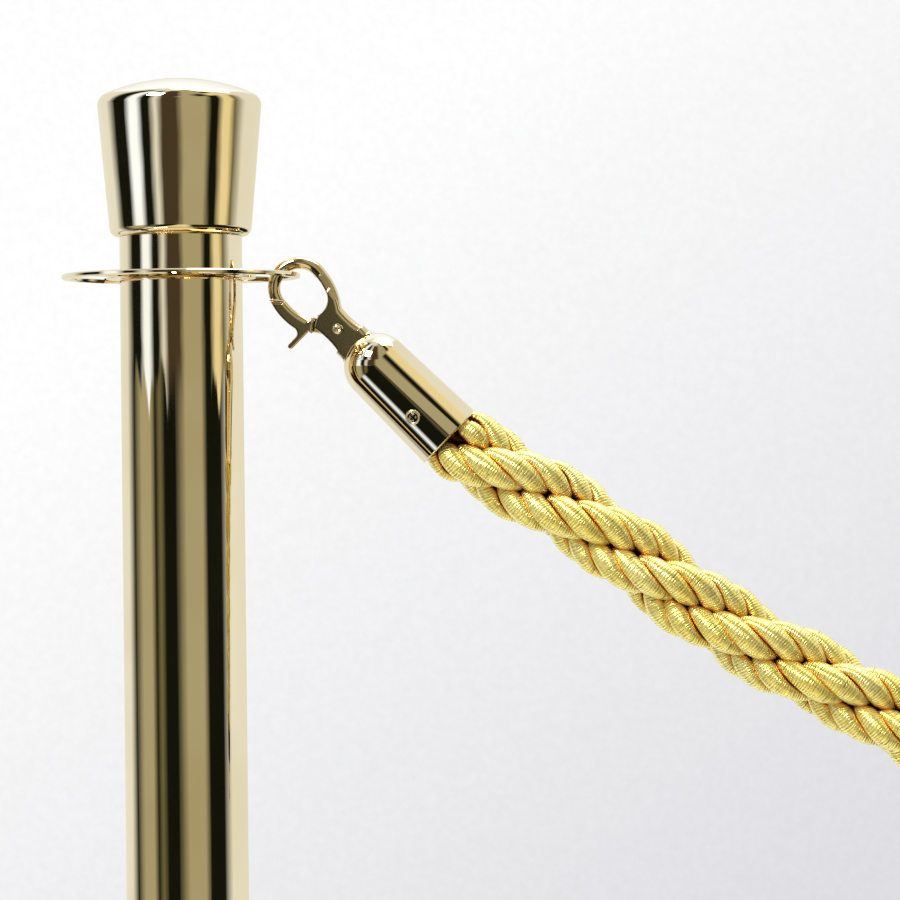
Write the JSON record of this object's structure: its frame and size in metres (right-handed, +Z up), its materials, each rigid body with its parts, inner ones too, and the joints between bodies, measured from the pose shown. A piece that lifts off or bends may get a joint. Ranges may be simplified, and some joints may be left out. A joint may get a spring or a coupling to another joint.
{
  "type": "rope barrier stanchion",
  "caption": "Polished post with a flared crown and slotted ring plate, and a thick twisted rope with domed ferrules and swivelling trigger hooks.",
  "frame": {"origin": "centre of the base, on the floor", "axes": "+Z up the post; +X towards the side the rope leaves; +Y away from the side that shows the hook's rivet head"},
  "size_m": [0.5626, 0.32, 0.9803],
  "materials": {
    "polished_brass": "mirror polished pale brass",
    "hook_brass": "polished cast brass",
    "plated_steel": "zinc plated",
    "turned_insert": "turned steel",
    "cast_iron": "rough casting",
    "floor_rubber": "matte rubber",
    "gold_rope": "cords wrapped in metallic thread"
  },
  "bodies": {
    "post": {"base_cover": "polished_brass", "base_weight": "cast_iron", "floor_ring": "floor_rubber", "base_collar": "polished_brass", "base_nut": "plated_steel", "base_washer": "plated_steel", "tie_rod": "plated_steel", "bottom_plug": "turned_insert", "post_tube": "polished_brass", "top_plug": "turned_insert", "ring_plate": "polished_brass", "neck_sleeve": "polished_brass", "neck_spacer": "turned_insert", "crown_shell": "polished_brass", "crown_insert": "turned_insert"},
    "near_hook": {"near_hook_body": "hook_brass", "near_gate_pin": "hook_brass", "near_gate_spring": "plated_steel", "near_swivel_stud": "plated_steel"},
    "near_gate_lever": {"near_gate": "hook_brass"},
    "rope_assembly": {"near_ferrule": "polished_brass", "near_ferrule_screws": "hook_brass", "rope": "gold_rope", "far_ferrule": "polished_brass", "far_ferrule_screws": "hook_brass"},
    "far_hook": {"far_hook_body": "hook_brass", "far_gate_pin": "hook_brass", "far_gate_spring": "plated_steel", "far_swivel_stud": "plated_steel"},
    "far_gate_lever": {"far_gate": "hook_brass"}
  },
  "joints": [
    {"name": "near_hook_swing", "type": "hinge", "parent": "post", "child": "near_hook", "pos_m": [0.04745, 0, 0.898], "axis": [0, 1, 0], "range_deg": [-60, 30]},
    {"name": "near_gate_open", "type": "hinge", "parent": "near_hook", "child": "near_gate_lever", "pos_m": [0.06507, 0, 0.8755], "axis": [0, -1, 0], "range_deg": [0, 18], "stiffness_Nm_per_rad": 0.05, "springref_deg": -17.19},
    {"name": "near_swivel", "type": "hinge", "parent": "near_hook", "child": "rope_assembly", "pos_m": [0.051, 0, 0.89], "axis": [0.7071, 0, -0.7071], "continuous": true},
    {"name": "far_swivel", "type": "hinge", "parent": "rope_assembly", "child": "far_hook", "pos_m": [0.38692, 0, 0.66116], "axis": [-0.8829, 0, 0.4695], "continuous": true},
    {"name": "far_gate_open", "type": "hinge", "parent": "far_hook", "child": "far_gate_lever", "pos_m": [0.36923, 0, 0.67091], "axis": [0, -1, 0], "range_deg": [0, 18], "stiffness_Nm_per_rad": 0.05, "springref_deg": -17.19}
  ]
}
